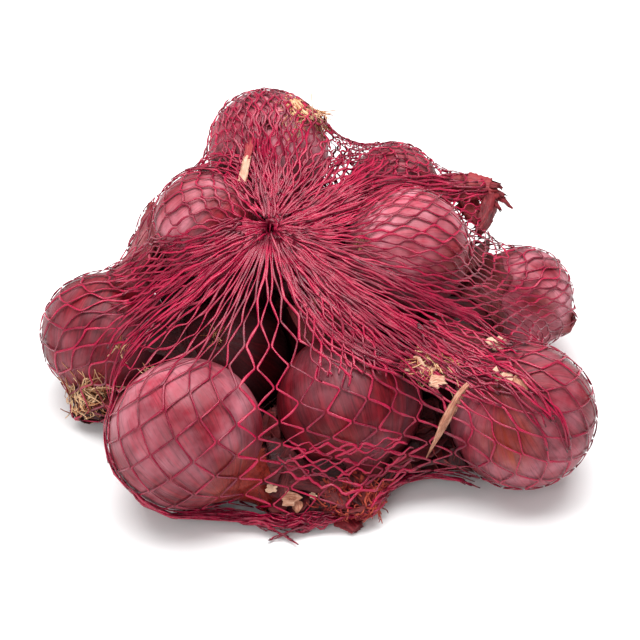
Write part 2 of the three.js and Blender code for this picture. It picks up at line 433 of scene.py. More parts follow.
# ---- onions ----
AROUND, ALONG = 112, 64  # faces round an onion, and from its root to its neck
NECK_FROM = math.radians(152)  # from the root, where the shoulder starts to rise
NECK_RISE, NECK_RADIUS = 0.16, 0.11  # of the onion's radius
ROOT_DISH, DISH_DEPTH = math.radians(13), 0.05  # the hollow at the root, of the radius deep
SKIN_IN, LEAST_SKIN_IN = 0.35, 0.1  # the skin's mean and least depth under the net's bearing surface
NECK_UNDER = 0.9  # from the bag's surface down to a neck
RIB_WAVES, RIB_HEIGHT = range(5, 17), 0.26
LUMPS, LUMP_HEIGHT = 7, 0.09
ROOT_STRAW, NECK_STRAW = 0.9, 0.7  # how straw-coloured the skin is round the root and at the shoulder
ROOT_STRAW_REACH = math.radians(20)


def side_ways(axis):
    """Two ways across an axis, one long."""
    first = unit(np.cross(axis, (0.0, 0.0, 1.0) if abs(axis[2]) < 0.9 else (1.0, 0.0, 0.0)))
    return first, np.cross(axis, first)


def onion(number):
    """One onion, root to neck, as a closed skin with ribs and shallow lumps."""
    name, _, radius, _, bloom_and_sheen = ONIONS[number]
    rng = np.random.default_rng(100 + number)
    down = np.linspace(0, np.pi, ALONG + 1)
    turn = np.linspace(0, 2 * np.pi, AROUND, endpoint=False)
    shoulder = np.clip((down - NECK_FROM) / (np.pi - NECK_FROM), 0, 1)
    shoulder = shoulder * shoulder * (3 - 2 * shoulder)
    across = np.hypot(radius * np.sin(down), NECK_RADIUS * radius * shoulder)
    height = -radius * HEIGHT_RATIO * np.cos(down) + NECK_RISE * radius * shoulder**2
    dish = np.clip(1 - down / ROOT_DISH, 0, 1)
    height += DISH_DEPTH * radius * dish * dish * (3 - 2 * dish)
    ribs = np.zeros(AROUND)
    for waves in RIB_WAVES:
        ribs += np.sin(waves * turn + rng.uniform(0, 6.3)) * rng.uniform(0.2, 1.0)
    ribs *= RIB_HEIGHT / np.abs(ribs).max()
    first, second = side_ways(NECKS[number])
    ways = np.cos(turn)[:, None] * first + np.sin(turn)[:, None] * second
    points = MIDDLES[number] + across[:, None, None] * ways + height[:, None, None] * NECKS[number]
    out = unit(points - MIDDLES[number])
    lumps = np.zeros(out.shape[:2])
    for _ in range(LUMPS):
        lumps += np.sin(out @ (rng.normal(size=3) * 2.6) + rng.uniform(0, 6.3))
    sink = SKIN_IN + lumps * LUMP_HEIGHT + ribs * np.sin(down)[:, None] ** 0.6
    points = points - out * np.maximum(sink, LEAST_SKIN_IN)[..., None]
    points[..., 2] = np.maximum(points[..., 2], FLOOR_GAP + 0.4)
    top = down > NECK_FROM
    points[top] = film.hold_inside(points[top], NECK_UNDER)

    straw = ROOT_STRAW * np.clip(1 - down / ROOT_STRAW_REACH, 0, 1) + NECK_STRAW * shoulder
    straw = np.broadcast_to(straw[:, None], lumps.shape)
    ragged = smooth_noise(turn * 3, rng) * 0.36
    for patch_name, facing, half_angle, strength in STRAW_PATCHES:
        if patch_name == name:
            angle = np.arccos(np.clip(out @ unit(facing), -1, 1)) / math.radians(half_angle)
            straw = np.maximum(straw, strength * np.clip(1.6 - 1.6 * angle + ragged, 0, 1))
    grain = triples(np.cos(turn), np.sin(turn), down[:, None] * 0.07 + rng.uniform(0, 40))
    look = triples(straw, bloom_and_sheen * (0.8 + 0.1 * lumps), SHADED.get(name, 0.0))

    rings = ALONG - 1
    ids = np.arange(rings * AROUND).reshape(rings, AROUND)
    root_tip, neck_tip = rings * AROUND, rings * AROUND + 1
    faces = quads_between(ids)
    faces += [(root_tip, b, a) for a, b in zip(ids[0], np.roll(ids[0], -1))]
    faces += [(neck_tip, a, b) for a, b in zip(ids[-1], np.roll(ids[-1], -1))]

    def flatten(values):
        """The rings between the two tips, then the tips."""
        return np.concatenate([values[1:ALONG].reshape(-1, 3), values[[0, ALONG]].mean(1)])

    shape = Shape()
    shape.add(flatten(points), faces, flatten(grain), flatten(look))
    return shape.piece("onion_" + name, SKIN)


# ---- the net's knots ----
COVER_MIDDLE = np.array([0, 0, 46.0])  # of the ball round the bag that the tube is first laid out on
COVER_SCALE = np.array([1.25, 1.05, 0.75])  # the ball's half sizes against each other
MERIDIANS, MERIDIAN_POINTS = 240, 160
RELAX_ROUNDS, QUICK_ROUNDS, PULLS_IN_ROUND = 220, 60, 3
MOST_MOVE = 2.0  # of a knot, in one round
EASE_TAUT, EASE_BUNCHED = 0.03, 0.25  # how far a knot goes in a round towards the middle of its neighbours
BUNCHED_BELOW, BUNCHED_RANGE = 8.5, 2.5  # the mean side round a knot where easing grows, and over how much
PULL = 0.9  # how much of its excess a side makes up in one pull. It makes up half as much of a lack
FILM_LIFT = 0.25  # from the bag's surface to the middle of a knot
MIDDLE_ROWS = range(int(ROWS * 0.3), int(ROWS * 0.7) + 1)  # where the columns are even
LEAVING_ROW = 4  # where the columns have left the front end


def meridian(share_round):
    """Points on the bag from the front end to the back end, for one share of the way round the tube."""
    front = unit((FRONT_END[0] - COVER_MIDDLE) / COVER_SCALE)
    back = unit((BACK_END[0] - COVER_MIDDLE) / COVER_SCALE)
    between = unit(front + back)
    apart = unit(front - back)
    aside = np.cross(apart, between)
    beta = front @ between
    angle = 2 * np.pi * share_round
    along = np.linspace(0, np.pi, MERIDIAN_POINTS)[:, None]
    ball = np.cos(along) * apart + np.sin(along) * (np.cos(angle) * between + np.sin(angle) * aside)
    lift = (ball @ between)[:, None]
    lifted = (lift + beta) / (1 + beta * lift)
    across = unit(ball - lift * between)
    ball = lifted * between + across * np.sqrt(np.maximum(0, 1 - lifted**2))
    ways = unit(evenly(ball, MERIDIAN_POINTS) * COVER_SCALE)
    return np.array([film.outside_in(COVER_MIDDLE, way) for way in ways])


def evenly(line, count, crowd=None):
    """count points at equal steps along a line of points, or at closer steps where crowd is high."""
    steps = np.linalg.norm(np.diff(line, axis=0), axis=1)
    if crowd is not None:
        steps = steps * crowd((line[1:] + line[:-1]) / 2)
    run = np.concatenate([[0], np.cumsum(steps)])
    steps = np.linspace(0, run[-1], count)
    return np.stack([np.interp(steps, run, line[:, k]) for k in range(3)], 1)


# Where the net's rows are pushed together or stretched: place, reach along each axis, and by how much.
CROWDED = [
    ((22, -82, 22), (42, 24, 22), 0.85),
    ((70, -72, 14), (24, 24, 16), 0.15),
    ((-12, -25, 76), (22, 26, 24), -0.35),
    ((-20, 60, 112), (30, 40, 24), 0.9),
    ((102, 28, 40), (26, 30, 26), 0.6),
]


def crowd(points):
    total = np.ones(len(points))
    for place, reach, amount in CROWDED:
        total += amount * np.exp(-np.sum(((points - place) / reach) ** 2, axis=1))
    return total


def columns_before(lines):
    """How many columns lie before each meridian: where the tube leaves its front end, and at its middle."""
    gaps = [np.linalg.norm(np.roll(lines[:, i], -1, 0) - lines[:, i], axis=1) for i in MIDDLE_ROWS]
    gaps = np.mean(gaps, 0)
    even = COLUMNS * np.concatenate([[0], np.cumsum(gaps)[:-1]]) / gaps.sum()
    off = lines[:, LEAVING_ROW] - FRONT_END[0]
    angle = np.degrees(np.unwrap(np.arctan2(off @ CAMERA_UP, off[:, 0])))
    turns, rest = np.divmod(angle - SECTOR_LINES[0], 360)
    uneven = COLUMNS * turns + np.interp(rest + SECTOR_LINES[0], SECTOR_LINES, SECTOR_COLUMNS)
    uneven = uneven * np.sign(angle[-1] - angle[0])
    return uneven + np.mean(even - uneven), even


def first_knots():
    """The net laid over the bag: rows at equal steps, columns gathered as they leave the front end."""
    lines = np.array([evenly(meridian(k / MERIDIANS), ROWS + 1, crowd) for k in range(MERIDIANS)])
    uneven, even = columns_before(lines)
    knots = np.zeros((ROWS + 1, COLUMNS, 3))
    for i in range(ROWS + 1):
        share = np.clip((i / ROWS - EVEN_FROM) / (EVEN_TO - EVEN_FROM), 0, 1)
        before = uneven * (1 - share) + even * share
        before = np.concatenate([before - COLUMNS, before, before + COLUMNS])
        spot = np.interp(np.arange(COLUMNS) + 0.5 * (i % 2), before, np.arange(-MERIDIANS, 2 * MERIDIANS))
        low = np.floor(spot).astype(int)
        part = (spot - low)[:, None]
        knots[i] = lines[low % MERIDIANS, i] * (1 - part) + lines[(low + 1) % MERIDIANS, i] * part
    for row, near_row, (spot, facing) in ((0, 2, FRONT_END), (ROWS, ROWS - 2, BACK_END)):
        off = knots[near_row] - spot
        knots[row] = spot + END_RING * unit(off - (off @ facing)[:, None] * facing)
    return knots


def net_sides():
    """The cells' sides, as two lists of knots. Odd rows lie half a column on."""
    ids = np.arange((ROWS + 1) * COLUMNS).reshape(ROWS + 1, COLUMNS)
    heads, tails = [], []
    for i in range(ROWS):
        for step in (0, 1):
            heads.append(ids[i])
            tails.append(np.roll(ids[i + 1], -(step - 1 if i % 2 == 0 else step)))
    return np.concatenate(heads), np.concatenate(tails)


def relaxed_knots():
    """Pulls the net taut on the bag: no side longer than the mesh allows, and bunched sides spread."""
    knots = first_knots().reshape(-1, 3)
    heads, tails = net_sides()
    fixed = np.r_[:COLUMNS, -COLUMNS:0]
    held = knots[fixed].copy()
    met = np.bincount(np.concatenate([heads, tails]), minlength=len(knots))[:, None]

    def gathered(at_heads, at_tails):
        total = np.zeros((len(knots), at_heads.shape[1]))
        np.add.at(total, heads, at_heads)
        np.add.at(total, tails, at_tails)
        return total / met

    for _ in range(RELAX_ROUNDS):
        before = knots.copy()
        for _ in range(PULLS_IN_ROUND):
            span = knots[tails] - knots[heads]
            length = np.linalg.norm(span, axis=1, keepdims=True)
            excess = np.maximum(length - SIDE_LONGEST, 0) + 0.5 * np.minimum(length - SIDE_SHORTEST, 0)
            pull = excess * PULL * span / np.maximum(length, 1e-6)
            knots = knots + gathered(pull, -pull)
            knots[fixed] = held
        mean = gathered(length, length)
        bunched = np.clip((BUNCHED_BELOW - mean) / BUNCHED_RANGE, 0, 1)
        ease = EASE_TAUT + (EASE_BUNCHED - EASE_TAUT) * bunched
        knots = knots + ease * (gathered(knots[tails], knots[heads]) - knots)
        move = knots - before
        far = np.linalg.norm(move, axis=1, keepdims=True)
        knots = before + move * np.minimum(1, MOST_MOVE / np.maximum(far, 1e-6))
        spots, ways = film.nearest(knots)
        knots = push_out(spots + ways * FILM_LIFT, NET_GAP)
        knots[fixed] = held
    return knots.reshape(ROWS + 1, COLUMNS, 3)


# ---- the net's strands ----
STRAND_SIDES = 6
STRAND_GAP = 0.45  # from an onion to the middle of a strand, between two knots
POINTS_ON_SIDE = 3  # between two joints
LONGEST_JOINT = 0.22  # half the longest joint, against a cell's side
SLACK_ASIDE, SLACK_UP = 0.088, 0.044  # how much of its spare length a bunched side shows as a wave
BUNCH_SPACING = 3.0  # where knots are closer than this, strands lie over each other
BUNCH_LIFT = 0.38  # by up to this share of what their distance lacks


def net_strands(knots, rng):
    """Every strand's line and its flat side's facing. Each strand zigzags down a column."""
    normals = film.nearest(knots)[1]
    normals[0], normals[-1] = FRONT_END[1], BACK_END[1]
    rows = np.arange(ROWS + 1)
    odd = rows % 2

    def left_right(near):
        """The neighbours in the row above or below, to the left and to the right of each knot."""
        on = odd[:, None, None] == 1
        return np.where(on, near, np.roll(near, 1, 1)), np.where(on, np.roll(near, -1, 1), near)

    up_left, up_right = left_right(np.concatenate([knots[:1], knots[:-1]]))
    down_left, down_right = left_right(np.concatenate([knots[1:], knots[-1:]]))
    along = unit(down_left + down_right - up_left - up_right)
    aside = unit(up_right + down_right - up_left - down_left)
    spacing = np.linalg.norm(np.roll(knots, -1, 1) - knots, axis=2)
    spacing = np.minimum(spacing, np.roll(spacing, 1, 1))
    side_length = np.linalg.norm(down_left - knots, axis=2).clip(1.0)
    slack = np.clip((SIDE_LONGEST - side_length) / (SIDE_LONGEST - SIDE_SHORTEST), 0, 1)
    half = np.minimum(JOINT_TAUT + (JOINT_SLACK - JOINT_TAUT) * slack, LONGEST_JOINT * side_length)[..., None]

    share = np.arange(1, POINTS_ON_SIDE + 1)[:, None] / (POINTS_ON_SIDE + 1)
    lines, facings = [], []
    for side in (1, -1):
        for column in range(COLUMNS):
            at = rows, (column - odd * (side < 0)) % COLUMNS
            lean = side * (1 - 2 * odd)[:, None] * STRAND_WIDTH * JOINT_ASIDE
            normal = normals[at]
            lift = rng.uniform(0, 1) * BUNCH_LIFT * np.clip(BUNCH_SPACING - spacing[at], 0, None)
            centre = knots[at] + aside[at] * lean + normal * lift[:, None]
            joint = np.stack([centre - along[at] * half[at], centre + along[at] * half[at]], 1)
            end, here, there = joint[:-1, 1:], normal[:-1, None], normal[1:, None]
            span = joint[1:, :1] - end
            length = np.linalg.norm(span, axis=-1, keepdims=True)
            spare = np.sqrt(np.maximum(length * (SIDE_LONGEST - length), 0))
            sideways, upward = rng.normal(size=(ROWS, 2, 1, 1)).swapaxes(0, 1)
            sway = np.cross(unit(span), here) * sideways * SLACK_ASIDE + here * abs(upward) * SLACK_UP
            between = end + span * share + sway * spare * np.sin(np.pi * share)
            line = np.concatenate([joint[:-1], between], 1).reshape(-1, 3)
            lines.append(np.concatenate([line, joint[-1]]))
            facing = np.concatenate([here, here, unit(here * (1 - share) + there * share)], 1)
            facings.append(np.concatenate([facing.reshape(-1, 3), normal[-1:], normal[-1:]]))
    lines = smoothed(np.array(lines), 0.72)
    lines[:, 1:-1] = push_out(lines[:, 1:-1], STRAND_GAP)
    return drawn_in(lines, np.array(facings), rng)


# A strand's two points in a pucker: how far from its middle, how far turned round it, how deep.
DRAWN_IN = [(2.7, 0.8, 3.0), (1.8, 2.2, 8.0)]


def drawn_in(lines, facings, rng):
    """Carries each strand on into the pucker at its two ends, turning as it goes."""
    ends = []
    for k, (spot, facing) in ((0, FRONT_END), (-1, BACK_END)):
        off = unit(lines[:, k] - spot)
        turn = np.cross(facing, off)
        depths = rng.uniform(0.7, 1.1, (len(lines), 1))
        inner = [reach * unit(off + turned * turn) - deep * facing for reach, turned, deep in DRAWN_IN]
        ends.append(np.stack([spot + step * depths for step in inner], 1))
    lines = np.concatenate([ends[0][:, ::-1], lines, ends[1]], 1)
    return lines, np.concatenate([facings[:, [0, 0]], facings, facings[:, [-1, -1]]], 1)


TWIST_RUN = (22, 60)  # how much of a strand its slow twist takes there and back
SLOW_TWIST, QUICK_TWIST = 0.55, 0.3  # how far they turn its flat side, in radians
STRAND_SPREAD = (0.82, 1.15)  # a strand's width against the mean


def net_piece(name, lines, facings, rng):
    """One set of strands as flat tapes that twist and vary a little."""
    count = len(lines)
    run = run_along(lines)
    phase = rng.uniform(0, 2 * np.pi, (count, 2))
    speed = 2 * np.pi / rng.uniform(*TWIST_RUN, (count, 1))
    twist = SLOW_TWIST * np.sin(run * speed + phase[:, :1])
    twist += QUICK_TWIST * np.sin(run * speed * 2.7 + phase[:, 1:])
    aside = unit(np.cross(unit(np.gradient(lines, axis=1)), facings))
    ups = facings * np.cos(twist)[..., None] + aside * np.sin(twist)[..., None]
    wobble = 1 + 0.14 * np.sin(run * speed * 4.1 + phase[:, 1:]) + rng.normal(0, 0.04, run.shape)
    widths = STRAND_WIDTH * rng.uniform(*STRAND_SPREAD, (count, 1)) * wobble
    thicknesses = STRAND_THICKNESS * (2 - wobble)
    shape = Shape()
    shape.add(*tubes(lines, ups, widths, thicknesses, STRAND_SIDES, rng.uniform(0, 1, count)))
    return shape.piece(name, NET)


# Folds of spare net: the line each follows over the bag, the half width at that line's start, middle and
# end, how deep under the bag's surface its strands may lie, and how many strands it has.
FOLDS = [
    ([(-18, 9, 90), (-19, 20, 96), (-20, 32, 101), (-22, 43, 108), (-21, 51, 116)], (2.5, 8, 9), 1.0, 20),
    ([(-18, 11, 90), (-5, 24, 96), (6, 38, 100), (12, 52, 106)], (2.5, 8, 10), 0.8, 10),
    ([(-17, 10, 90), (0, 16, 93), (18, 26, 97), (41, 46, 92), (60, 56, 86), (80, 56, 84)],
     (2.5, 8, 4), 1.0, 16),
    ([(-17, 10, 90), (4, 15, 93), (31, 19, 102), (60, 45, 84), (88, 56, 79)], (2.5, 12, 3), 0.6, 10),
    ([(-17, 10, 90), (4, 18, 95), (20, 34, 99), (30, 50, 97), (34, 62, 95)], (2.5, 9, 9), 0.8, 18),
    ([(-17, 9, 90), (0, 0, 88), (26, -16, 86), (52, -24, 75), (75, -27, 64), (91, -45, 64)],
     (2, 7, 9), 1.2, 12),
    ([(-17, 9, 90), (-5, -3, 87), (17, -24, 81), (43, -37, 69), (69, -53, 59), (85, -70, 58)],
     (2, 8, 10), 1.5, 22),
    ([(-17, 8, 90), (-9, -5, 86), (8, -29, 79), (30, -45, 67), (51, -56, 57), (62, -60, 54)],
     (2, 9, 8), 2.0, 18),
    ([(-18, 8, 90), (-14, -5, 86), (-5, -28, 79), (8, -43, 71), (25, -52, 65), (51, -55, 57)],
     (2, 7, 6), 2.0, 14),
    ([(-20, 8, 89), (-27, 0, 88), (-40, -11, 81), (-53, -20, 72), (-67, -26, 64), (-79, -33, 55)],
     (2, 7, 9), 1.5, 18),
    ([(-20, 9, 89), (-29, 2, 89), (-49, -6, 82), (-67, -9, 70), (-85, -16, 58), (-94, -23, 49)],
     (2, 8, 10), 1.2, 10),
    ([(46, -33, 70), (69, -44, 61), (89, -61, 61), (104, -75, 52), (112, -82, 38)], (5, 13, 14), 0.2, 9),
    ([(-67, -26, 64), (-79, -33, 55), (-86, -44, 41), (-88, -66, 38), (-84, -82, 30), (-73, -93, 22)],
     (8, 5, 4), 0.4, 9),
]
# A second layer of net with small cells, in the same terms. Its strands lie side by side and meet in turn.
LAYERS = [
    ([(-19, 20, 96), (-20, 34, 104), (-21, 50, 115), (-22, 66, 122), (-22, 84, 118)], (10, 25, 25), 0.3, 17),
    ([(-22, 20, 97), (-36, 36, 102), (-50, 42, 98), (-64, 40, 89)], (7, 10, 8), 0.4, 9),
    ([(-30, 8, 88), (-52, 4, 80), (-72, 6, 68), (-92, 4, 60)], (7, 14, 16), 0.4, 14),
    ([(-12, 12, 91), (4, 22, 96), (20, 38, 98), (34, 58, 95), (52, 66, 90)], (6, 13, 16), 0.4, 11),
    ([(50, -34, 70), (69, -46, 61), (88, -60, 61)], (10, 14, 12), 0.3, 9),
    ([(2, -24, 77), (10, -40, 70), (18, -55, 62), (21, -62, 57)], (8, 15, 16), 0.3, 12),
    ([(-20, -72, 34), (2, -80, 30), (22, -82, 28), (44, -72, 30), (56, -66, 30)], (6, 13, 9), 0.3, 6),
]
# Net that is bunched along the bottom at the front, in the same terms.
HEMS = [
    ([(-82, -84, 26), (-73, -93, 20), (-60, -92, 10), (-42, -88, 6), (-24, -90, 5)], (2, 3, 3.5), 2.0, 16),
    ([(-60, -90, 9), (-42, -87, 5), (-28, -90, 5), (-14, -93, 5), (0, -92, 5), (14, -89, 6)],
     (3, 4.5, 4), 5.0, 34),
    ([(-14, -93, 5), (0, -92, 5), (14, -89, 6), (26, -88, 10), (33, -79, 13), (42, -70, 10)],
     (4, 4, 3), 4.0, 22),
    ([(30, -78, 13), (42, -68, 10), (54, -64, 8), (66, -67, 8), (76, -74, 9)], (2.5, 2, 1.5), 3.0, 9),
    ([(-30, -89, 6), (-17, -94, 4), (-9, -98, 2.5), (-5, -101, 1.5)], (3, 1.5, 1), 1.0, 3),
    ([(4, -90, 6), (-6, -95, 4), (-15, -97, 2.5), (-21, -98, 2)], (3, 1.5, 1), 1.0, 2),
]
BEND_EVERY = {"fold": 10.0, "layer": 5.0, "hem": 10.0}  # between two bends of a strand
BEND_HEIGHT = {"fold": 0.48, "hem": 1.32}
POINTS_ALONG = {"fold": 30, "layer": 36, "hem": 30}
FOLD_LIFT = 0.8  # from the bag's surface to the middle of the folds and layers
MOST_RAISED = 0.9  # how far a strand of theirs may rise from there
FOLD_GAP = 0.6  # from an onion to the middle of a folded strand


def folded_strands(rows, kind, rng):
    """Strands of the folds, layers or hems as one set of lines, all with the same number of points."""
    points = POINTS_ALONG[kind]
    lines, facings = [], []
    for path, half_widths, depth, count in rows:
        spine = smoothed(evenly(np.array(path, float), points), 0.5)
        run = run_along(spine)
        share = run / run[-1]
        half = np.interp(share, (0, 0.5, 1), half_widths)
        normal = film.nearest(spine)[1]
        aside = unit(np.cross(unit(np.gradient(spine, axis=0)), normal))
        for number in range(count):
            place = np.linspace(rng.uniform(0, 0.12), rng.uniform(0.75, 1.0), points)
            half_here = np.interp(place, share, half)
            bend = np.pi * run[-1] * place / BEND_EVERY[kind]
            if kind == "layer":
                bend = bend + np.pi * number + rng.normal(0, 0.25)
                zigzag = np.arcsin(0.95 * np.sin(bend)) * 0.62 + rng.normal(0, 0.12, points)
                across = half_here * (2 * number + 1 - count + zigzag) / count
            else:
                zigzag = np.arcsin(0.95 * np.sin(bend + rng.uniform(0, 6.3))) * BEND_HEIGHT[kind]
                drift = np.linspace(rng.uniform(-0.5, 0.5), rng.uniform(-0.5, 0.5), points)
                across = (drift + rng.uniform(-0.5, 0.5)) * half_here + zigzag
            line, way, side = (
                np.stack([np.interp(place, share, values[:, k]) for k in range(3)], 1)
                for values in (spine, normal, aside)
            )
            line = line + side * across[:, None]
            if kind != "hem":
                spots, way = film.nearest(line)
                line = spots + way * FOLD_LIFT
            sunk = rng.uniform(-MOST_RAISED, depth)
            sunk = sunk + 0.5 * np.sin(place * rng.uniform(5, 12) + rng.uniform(0, 6))
            lines.append(line - unit(way) * sunk[:, None])
            facings.append(way)
    return push_out(np.array(lines), FOLD_GAP), np.array(facings)


KNOT_STRANDS, KNOT_RADIUS, KNOT_DEPTH = 46, 2.6, 4.0


def knot_piece(name, end, node, rng):
    """The drawn-together end: a twisted bundle of strand ends, sunk in the middle of the starburst, coloured
    dark as painted shade.
    """
    spot, facing = end
    first, second = side_ways(facing)
    draws = rng.uniform((0, 0, 0.5, -6.0), (2 * np.pi, 1, 1.6, -2.5), (KNOT_STRANDS, 4))
    angle, spread, turns, top = draws.T[..., None]
    share = np.linspace(0, 1, 9)
    turned = (angle + turns * share * 2.2)[..., None]
    ups = np.cos(turned) * first + np.sin(turned) * second
    bow = KNOT_RADIUS * np.sqrt(spread) * (0.55 + 0.9 * np.sin(np.pi * np.minimum(share * 1.1, 1))) + 0.2
    lines = spot + ups * bow[..., None] + facing * (top - KNOT_DEPTH * (1 - share))[..., None]
    widths = np.full(lines.shape[:2], STRAND_WIDTH * 0.95)
    thicknesses = np.full(lines.shape[:2], STRAND_THICKNESS * 1.3)
    shape = Shape()
    shape.add(*tubes(lines, ups, widths, thicknesses, STRAND_SIDES, rng.uniform(0, 1, KNOT_STRANDS)))
    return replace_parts(shape.piece(name, KNOT_IN_SHADE), node)


# ---- roots, necks and loose skin ----
HAIR_GAP, SKIN_GAP, FLAKE_GAP = 0.4, 0.5, 0.3  # from an onion to a root hair, a loose skin or a flake
HAIR_SIDES, HAIR_TIP = 5, 0.45  # HAIR_TIP is of the width at the root
HUSK_FLOOR_GAP = 0.4
SHEET = 0.2  # thickness of a loose skin


def hairs(shape, rng, root, spread, aim, count, lengths, radius, curl, depth=0.9, stray=0.0, points=10):
    """A tuft of root hairs that leaves a spot, bends towards aim and stays depth under the bag's surface.

    stray is the share of the hairs that may come out through the net."""
    first, second = side_ways(unit(aim))
    lines = []
    for _ in range(count):
        angle = rng.uniform(0, 2 * np.pi)
        off = spread * math.sqrt(rng.uniform(0, 1))
        out = math.cos(angle) * first + math.sin(angle) * second
        way = unit(aim + rng.uniform(0.1, 1.0) * out + rng.normal(0, 0.25, 3))
        step = rng.uniform(*lengths) / (points - 1)
        bend = rng.normal(0, curl, 3)
        line = [root + off * out]
        for _ in range(points - 1):
            bend = bend * 0.8 + rng.normal(0, curl * 0.6, 3)
            way = unit(way + bend)
            line.append(line[-1] + way * step)
        lines.append(line)
    lines = push_out(np.array(lines), HAIR_GAP)
    free = rng.uniform(0, 1, (count, 1, 1)) < stray
    lines = np.where(free, lines, film.hold_inside(lines, depth))
    width = 2 * radius * np.linspace(1, HAIR_TIP, points) * rng.uniform(0.7, 1.3, (count, 1))
    ups = np.broadcast_to(first, lines.shape)
    shape.add(*tubes(lines, ups, width, width, HAIR_SIDES, rng.uniform(0, 1, count)))


def husk(shape, rng, path, widths, thicknesses, facing, tag, flutes, flute_depth, torn,
         inside=None, points=22, sides=22):
    """A dried neck, flap or flake: a crumpled fluted tube, flattened, with a torn far end."""
    line = smoothed(evenly(np.array(path, float), points), 0.5)
    share = np.linspace(0, 1, points)
    width = np.interp(share, np.linspace(0, 1, len(widths)), widths)
    thickness = np.interp(share, np.linspace(0, 1, len(thicknesses)), thicknesses)
    turn = np.linspace(0, 2 * np.pi, sides, endpoint=False)
    bulge = 1 + flute_depth * np.sin(flutes * turn + 3 * share[:, None] + rng.uniform(0, 6))
    bulge += 0.5 * flute_depth * np.sin((2 * flutes + 1) * turn - 5 * share[:, None])
    bulge += rng.normal(0, 0.05, bulge.shape)
    trim = rng.uniform(-torn, torn, sides) * width[-1]
    ups = np.broadcast_to(unit(facing), (1, points, 3))
    tag = np.array([tag])
    spots, *others = tubes(line[None], ups, width[None], thickness[None], sides, tag, bulge[None], trim[None])
    if inside is not None:
        spots = film.hold_inside(spots, inside)
    spots[:, 2] = np.maximum(spots[:, 2], HUSK_FLOOR_GAP)
    shape.add(spots, *others)


def leaf(shape, rng, middle, facing, size, curl, tag, fit, rings=5, around=18, stretch=1.0):
    """A ragged curled sheet of dry skin. fit moves its points to where they may be."""
    normal = unit(facing)
    first, second = side_ways(normal)
    angle = rng.uniform(0, 2 * np.pi)
    first, second = (
        math.cos(angle) * first + math.sin(angle) * second,
        math.cos(angle) * second - math.sin(angle) * first,
    )
    turn = np.linspace(0, 2 * np.pi, around, endpoint=False)
    edge = np.ones(around)
    for waves in range(2, 7):
        edge += rng.uniform(0.03, 0.16) * np.sin(waves * turn + rng.uniform(0, 6.3))
    reach = np.arange(1, rings + 1)[:, None] / rings * size * edge
    u, v = reach * np.cos(turn) * stretch, reach * np.sin(turn)
    lift = curl * (u / size) ** 2 + 0.3 * curl * np.sin(4 * u / size + rng.uniform(0, 6)) * (v / size)
    flat = np.concatenate([np.zeros((1, 3)), np.stack([u, v, lift], -1).reshape(-1, 3)])
    points = fit(middle + flat[:, :1] * first + flat[:, 1:2] * second + flat[:, 2:] * normal)
    ids = 1 + np.arange(rings * around).reshape(rings, around)
    here, there, rim = ids[:-1], ids[1:], ids[-1]
    top = [(0, a, b) for a, b in zip(ids[0], np.roll(ids[0], -1))]
    top += np.stack([here, there, np.roll(there, -1, 1), np.roll(here, -1, 1)], -1).reshape(-1, 4).tolist()
    count = len(points)
    faces = top + [[k + count for k in face[::-1]] for face in top]
    faces += [(a, a + count, b + count, b) for a, b in zip(rim, np.roll(rim, -1))]
    grain = triples(flat[:, 0] * 0.06, flat[:, 1] * 0.3, tag * GRAIN_SHIFT)
    look = triples(tag, np.hypot(flat[:, 0], flat[:, 1]) / size, 0.0)
    half = normal * SHEET / 2
    both = np.concatenate([points + half, points - half])
    shape.add(both, faces, np.tile(grain, (2, 1)), np.tile(look, (2, 1)))


# Loose skins higher in the bag, dark sheets of painted shade where one would see through it between onions.
SHADE_SKINS_HIGHER = [
    (6, 40, 78), (2, 32, 70), (14, 48, 72), (18, 42, 84), (-6, 40, 66), (80, 26, 48), (76, 36, 54),
    (74, 6, 44), (-64, 20, 44), (-62, 30, 54), (-20, 30, 60), (8, -8, 52), (62, -22, 48), (-62, -14, 46),
    (-44, 42, 94), (-34, 45, 96), (-22, 62, 48), (-26, 52, 60), (10, 50, 64), (-52, 36, 60),
]


def loose_skins_as_shade():
    """Dry skins that have come off and lie in the hollows at the bottom of the bag, dark as painted shade for
    those hollows.
    """
    rng = np.random.default_rng(25)
    shape = Shape()
    grid = np.array([(x, y, z) for x in range(-120, 125, 9) for y in range(-96, 96, 9) for z in (3, 10, 18)])
    spots = grid + rng.uniform(-3, 3, grid.shape)
    spots[:, 2] = np.maximum(spots[:, 2], 2)
    near, ways = film.nearest(spots)
    under = -np.sum((spots - near) * ways, axis=1)
    clear = np.min(np.linalg.norm(spots[:, None] - MIDDLES, axis=2) - RADII, axis=1)
    kept = [(spot, rng.uniform(7, 12)) for spot in spots[(under > 1.5) & (clear > 0.5)]]
    kept += [(np.array(spot), 15.0) for spot in SHADE_SKINS_HIGHER]
    for spot, size in kept:
        facing = rng.normal(0, 0.45, 3) + (0, -0.25, 1)
        leaf(shape, rng, spot, facing, size, rng.uniform(-3, 4), rng.uniform(0, 0.8),
             lambda points: film.hold_inside(push_out(points, SKIN_GAP, 1.0), 0.9))
    return shape.piece("loose_skins_as_shade", DARK_SKIN_AS_SHADE)


